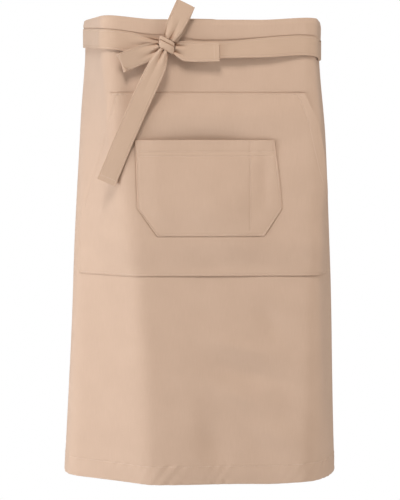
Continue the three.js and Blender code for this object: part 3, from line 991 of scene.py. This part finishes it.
# %% A ribbon as a piece
def ribbon(node, stations, hemmed_end=False):
    points, faces = skin(ribbon_place(stations, 1), ribbon_place(stations, -1))
    length = length_along(stations["middle"])
    v, u = np.meshgrid(length, ACROSS * TIE_WIDTH, indexing="ij")
    corners = points[faces] - points.mean(axis=0)
    volume = np.einsum("ij,ij->i", corners[:, 0], np.cross(corners[:, 1], corners[:, 2])).sum()
    piece = dress(node, points, faces if volume > 0 else faces[:, ::-1], both_sides(u, v), "tie_twill")
    sewing = ribbon_stitches(node, stations, length, hemmed_end)
    print(f"{node}: {length[-1]:.3f} m of tie")


def stations_of(middle, across, out, row, phase):
    return {
        "middle": middle, "across": across, "out": out, "width": row["width"],
        "pleat": np.maximum(row["pleat"], 0), "phase": np.full(len(middle), phase),
    }


# %% [markdown]
# ## The ties
# Each tie is sewn to one end of the waistband, crosses the open back and comes round the waist to the
# knot. The right one sags below the waistband, with its lower edge standing off the skirt. The tables of
# their routes and one curve across the back give the stations.

# %% Across the open back
CROSSING = Sizes(rise=0.017, begin=0.1, full=0.38, reach=0.07, steps=56, end_gap=0.0009)
UP = np.array([0.0, 0.0, 1.0])


def crossing(ahead):
    ends = (-HALF_PANEL, HALF_PANEL)
    a, d = (worn(end, BAND_HEIGHT / 2) for end in ends)
    first, last = (heading(end, BAND_HEIGHT / 2) for end in ends)
    b = a - CROSSING.reach * np.array([np.cos(first), np.sin(first), 0])
    c = d + CROSSING.reach * np.array([np.cos(last), np.sin(last), 0])
    gone = np.arange(CROSSING.steps) / CROSSING.steps
    t = (gone if ahead > 0 else 1 - gone)[:, None]
    place = a * (1 - t) ** 3 + 3 * b * t * (1 - t) ** 2 + 3 * c * t * t * (1 - t) + d * t ** 3
    run = unit(3 * (b - a) * (1 - t) ** 2 + 6 * (c - b) * t * (1 - t) + 3 * (d - c) * t * t)
    facing = np.stack([-run[:, 1], run[:, 0], np.zeros(len(run))], -1)
    begin, full = CROSSING.begin, CROSSING.full
    rise = between(gone, begin, full) - between(gone, 1 - full, 1 - begin)
    out = lerp(BAND_MIDDLE, TIE_REST, between(gone, full, 1 - full))
    middle = place + facing * out[:, None] + UP * (ahead * CROSSING.rise * rise)[:, None]
    middle[0] += run[0] * ahead * CROSSING.end_gap
    return middle, facing


# %% The two ties
TIE_STEP = 0.0025


def tie(route, ahead, phase):
    start = HALF_PANEL * ahead
    knot_end = route["at"][0] if ahead > 0 else route["at"][-1]
    row = follow(route, np.linspace(start, knot_end, round(abs(knot_end - start) / TIE_STEP)))
    facing = outward(row["at"], row["drop"])
    middle = worn(row["at"], row["drop"], row["out"])
    front = stations_of(middle, UP - facing * row["tilt"][:, None], facing, row, phase)
    middle, facing = crossing(ahead)
    plain = np.zeros(len(middle))
    row = {"width": plain + TIE_WIDTH, "pleat": plain}
    back = stations_of(middle, np.tile(UP, (len(middle), 1)), facing, row, phase)
    return {key: join([back[key], front[key]]) for key in back}


ribbon("tie_left", tie(LEFT_TIE, ahead=-1, phase=0.6))
ribbon("tie_right", tie(RIGHT_TIE, ahead=1, phase=2.2))

# %% [markdown]
# ## The bow's tails
# The tails are the ties' free ends. They leave the knot in pleats, open out to the full width and hang
# over the pouch. Each ends in a narrow turned hem with one row of stitches.

# %% The two tails
TAIL_STEPS = 72
LONG_TAIL = table(
    "drop right ahead turn tilt width pleat",
    (0.0482, -0.0678, 0.1358, 0, 0, 0.015, 0.0034),
    (0.062, -0.074, 0.1384, 0, 0, 0.0235, 0.0019),
    (0.0758, -0.0802, 0.1394, 0, 0, 0.0285, 0.0006),
    (0.1226, -0.1022, 0.1388, 0, 0, 0.03, 0),
    (0.154, -0.1161, 0.1366, 0, 0, 0.03, 0),
    (0.1855, -0.1298, 0.1332, -2, 0, 0.03, 0),
    (0.2171, -0.1429, 0.1304, -4, 0, 0.03, 0),
    (0.2487, -0.1558, 0.1244, -4, 0, 0.03, 0),
)
SHORT_TAIL = table(
    "right drop ahead turn tilt width pleat",
    (-0.0505, 0.045, 0.13, 0, 0, 0.018, 0.003),
    (-0.041, 0.0482, 0.1304, 0, 0.06, 0.025, 0.0015),
    (-0.033, 0.0502, 0.1304, 0, 0.12, 0.0295, 0.0002),
    (0.017, 0.0498, 0.1326, 0, 0.16, 0.03, 0),
)


def tail(route, phase):
    first = next(iter(route.values()))
    row = follow(route, np.linspace(first[0], first[-1], TAIL_STEPS))
    turn = np.radians(row["turn"])
    middle = np.stack([row["right"], -row["ahead"], TOP_Z - row["drop"]], -1)
    facing = np.stack([np.sin(turn), -np.cos(turn), np.zeros(TAIL_STEPS)], -1)
    across = unit(np.cross(facing, np.gradient(middle, axis=0))) - facing * row["tilt"][:, None]
    return stations_of(middle, across, facing, row, phase)


ribbon("bow_tail_long", tail(LONG_TAIL, phase=0.4), hemmed_end=True)
ribbon("bow_tail_short", tail(SHORT_TAIL, phase=1.4), hemmed_end=True)

# %% [markdown]
# ## The bow's loops
# A loop leaves the knot, folds back on itself and returns. A path out along its back layer, round the
# fold and home along the front layer makes it in one ribbon, with pleats at both ends.

# %% The two loops
LOOP_STEPS = 97
LOOP_FOLD = (3, 5)
LOOP_WAY = table(
    "step along out width pleat",
    (0, 0, 0.0092, 0.019, 0.002),
    (1, 0.3, 0.0078, 0.0275, 0.0004),
    (2, 0.65, 0.0076, 0.0295, 0),
    (3, 0.95, 0.0082, 0.03, 0),
    (4, 1, 0.0102, 0.03, 0),
    (5, 0.95, 0.0122, 0.03, 0),
    (6, 0.65, 0.0132, 0.0295, 0),
    (7, 0.3, 0.0134, 0.0275, 0.001),
    (8, 0, 0.013, 0.019, 0.0034),
)


def loop(at, drop, lean, length, phase, tilt=0.0, lift=0.0, slip=0.0):
    row = follow(LOOP_WAY, np.linspace(0, LOOP_WAY["step"][-1], LOOP_STEPS))
    angle = math.radians(lean)
    aside = slip * (1 - row["along"]) * (1 - between(row["step"], *LOOP_FOLD))
    s = at + math.sin(angle) * row["along"] * length + math.cos(angle) * aside
    low = drop - math.cos(angle) * row["along"] * length + math.sin(angle) * aside
    facing = outward(s, low)
    across = np.array([math.cos(angle), 0, -math.sin(angle)]) + facing * (tilt * row["along"])[:, None]
    return stations_of(worn(s, low, row["out"] + lift * row["along"]), across, facing, row, phase)


upper = loop(at=-0.06, drop=0.031, lean=25.6, length=0.06, phase=2.6, slip=0.004)
lower = loop(at=-0.0756, drop=0.0444, lean=247, length=0.0615, phase=0.9, tilt=0.34, lift=0.004)
ribbon("bow_loop_upper", upper)
ribbon("bow_loop_lower", lower)

# %% [markdown]
# ## The knot
# The knot is a stretch of tie wrapped once round the others, folded lengthwise so that a crease runs
# along it. It is a barrel swept round the wrap, with rolled edges, the crease as a real step and small
# pull lines that fan out from its two ends.

# %% The knot's form
KNOT = Sizes(drop=0.04, out=0.0102, length=0.026, height=0.019, depth=0.017, slant=28, lean=0.12)
KNOT_CREASE = Sizes(at=0.0026, step=0.0012, fade=0.008, cut=0.0014, reach=0.0008, front=(0.1, 0.6))
KNOT_PULL = Sizes(depth=0.0003, waves=2100, fan=3, begin=0.55)
KNOT_GRID = Sizes(turns=120, levels=85, tilt=84)
BARREL, SQUARE = 9, 3
slant = math.radians(KNOT.slant)
knot_run = np.array([math.cos(slant), 0, -math.sin(slant)])
knot_rise = np.array([KNOT.lean, 0, 1.0])
knot_out = outward(np.array(KNOT_AT), np.array(KNOT.drop))
turns = np.linspace(0, 2 * np.pi, KNOT_GRID.turns + 1)[:-1]
levels = np.sin(np.radians(np.linspace(-KNOT_GRID.tilt, KNOT_GRID.tilt, KNOT_GRID.levels)))
turn, level = np.meshgrid(turns, levels)


def knot_skin(shrink):
    radius = (1 - np.abs(level) ** BARREL) ** (1 / BARREL)
    rise = level * KNOT.height / 2
    square = (np.abs(np.cos(turn)) ** SQUARE + np.abs(np.sin(turn)) ** SQUARE) ** (-1 / SQUARE)
    below = np.clip((KNOT_CREASE.at - rise) / KNOT_CREASE.fade, 0, None)
    crease = KNOT_CREASE.step * np.exp(-below) * (rise < KNOT_CREASE.at)
    crease -= KNOT_CREASE.cut * hump((rise - KNOT_CREASE.at) / KNOT_CREASE.reach)
    crease *= between(np.sin(turn), *KNOT_CREASE.front)
    ends = between(np.abs(np.cos(turn)), KNOT_PULL.begin, 1)
    pulls = KNOT_PULL.depth * ends * np.cos(rise * KNOT_PULL.waves + KNOT_PULL.fan * np.cos(turn))
    push = crease + pulls - shrink
    x = np.cos(turn) * square * (radius * KNOT.length / 2 + push)
    y = np.sin(turn) * square * (radius * KNOT.depth / 2 + push)
    return x[..., None] * knot_run + y[..., None] * knot_out + rise[..., None] * knot_rise


# %% The knot
KNOT_WALL = 0.0014
KNOT_DRAWN = 0.02
centre = worn(KNOT_AT, KNOT.drop, KNOT.out)
layers = [knot_skin(shrink) + centre for shrink in (0, KNOT_WALL)]
count = level.size
ids = np.arange(count).reshape(level.shape)
ids = join([ids, ids[:, :1]], axis=1)
rims = [np.stack([a[1:], a[:-1], a[:-1] + count, a[1:] + count], -1) for a in (ids[0], ids[-1, ::-1])]
faces = join([grid_faces(ids), grid_faces(ids + count)[:, ::-1], *rims])[:, ::-1]
points = join([layer.reshape(-1, 3) for layer in layers])
flat = both_sides(level * TIE_WIDTH / 2, np.sin(turn) * KNOT_DRAWN)
knot = dress("bow_knot", points, faces, flat, "tie_twill")

# %% [markdown]
# ## The floor and the surroundings
# The apron is shown above a pale floor, in pale surroundings that light it weakly from all sides. The
# camera sees both as plain white, as in a catalogue, while the cloth gets their weaker light. A mix of
# two shaders does that, with the kind of ray as its factor.

# %% The floor and the surroundings
FLOOR = Sizes(z=-1.05, radius=14.0, sides=96)
WHITE = (1, 1, 1, 1)


def white_to_camera(recipe, kind, output):
    white = recipe.node(kind, {}, {"Color": WHITE, "Strength": 1.0})
    seen = recipe.node("ShaderNodeLightPath", {}, {})["Is Camera Ray"]
    lit = Value(recipe, recipe.shader.outputs[0])
    shown = recipe.node("ShaderNodeMixShader", {}, {0: seen, 1: lit, 2: white})
    recipe.feed(recipe.tree.nodes[output].inputs["Surface"], shown)


ring = np.linspace(0, 2 * np.pi, FLOOR.sides + 1)[:-1]
rim = [(FLOOR.radius * x, FLOOR.radius * y, FLOOR.z) for x, y in zip(np.cos(ring), np.sin(ring))]
floor_mesh = bpy.data.meshes.new("floor")
floor_mesh.from_pydata(rim, [], [list(range(FLOOR.sides))])
floor = put("floor", floor_mesh)
pale = Recipe(bpy.data.materials.new("pale_floor"))
floor_mesh.materials.append(pale.finish(Base_Color=(0.8, 0.8, 0.8, 1), Roughness=0.9))
white_to_camera(pale, "ShaderNodeEmission", "Material Output")

scene.world = bpy.data.worlds.new("studio")
sky = Recipe(scene.world, "Background")
sky.finish(Color=(1, 0.95, 0.86, 1), Strength=0.215)
white_to_camera(sky, "ShaderNodeBackground", "World Output")
print("floor at", FLOOR.z, "m, surroundings:", scene.world.name)

# %% [markdown]
# ## Light
# A cool soft box stands low at the left and rakes over the folds. A key light above the front draws the
# shadows under the ties and the pocket, and a wide light at the right fills them.

# %% Lights
AIM = Vector((-0.001, 0.0, -0.3413))


def soft_light(name, place, size, power, colour=WHITE[:3]):
    light = bpy.data.lights.new(name, "AREA")
    light.shape = "SQUARE"
    light.size = size
    light.energy = power
    light.color = colour
    lamp = put(name, light)
    lamp.location = place
    lamp.rotation_euler = (AIM - Vector(place)).to_track_quat("-Z", "Y").to_euler()
    print(f"{name}: {power} W from {size} m")


soft_light("left_softbox", (-2.0, -0.65, -0.6), size=0.8, power=28.5, colour=(0.96, 1.03, 1.11))
soft_light("key", (-0.4, -1.5, 1.6), size=0.7, power=31)
soft_light("right_fill", (2.6, -1.3, 0.2), size=1.8, power=33.5)
scene.view_settings.view_transform = "Standard"

# %% [markdown]
# ## Camera
# The camera looks a little from the left and from above, from so far that the waist and the hem are drawn
# at nearly one scale. Its lens is given as a focal length in pixels of the photo.

# %% Camera at the photo's angle
AZIMUTH, ELEVATION, DISTANCE = -5.0, 3.8, 2.72
FOCAL_PIXELS, IMAGE_HEIGHT = 1685, 500
azimuth, elevation = math.radians(AZIMUTH), math.radians(ELEVATION)
back = Vector((
    math.sin(azimuth) * math.cos(elevation), -math.cos(azimuth) * math.cos(elevation), math.sin(elevation)
))
lens = bpy.data.cameras.new("camera")
lens.sensor_width = 36
lens.lens = FOCAL_PIXELS / IMAGE_HEIGHT * lens.sensor_width
camera = put("camera", lens)
camera.location = AIM + back * DISTANCE
camera.rotation_euler = back.to_track_quat("Z", "Y").to_euler()
scene.camera = camera
print("camera at", [round(x, 3) for x in camera.location])
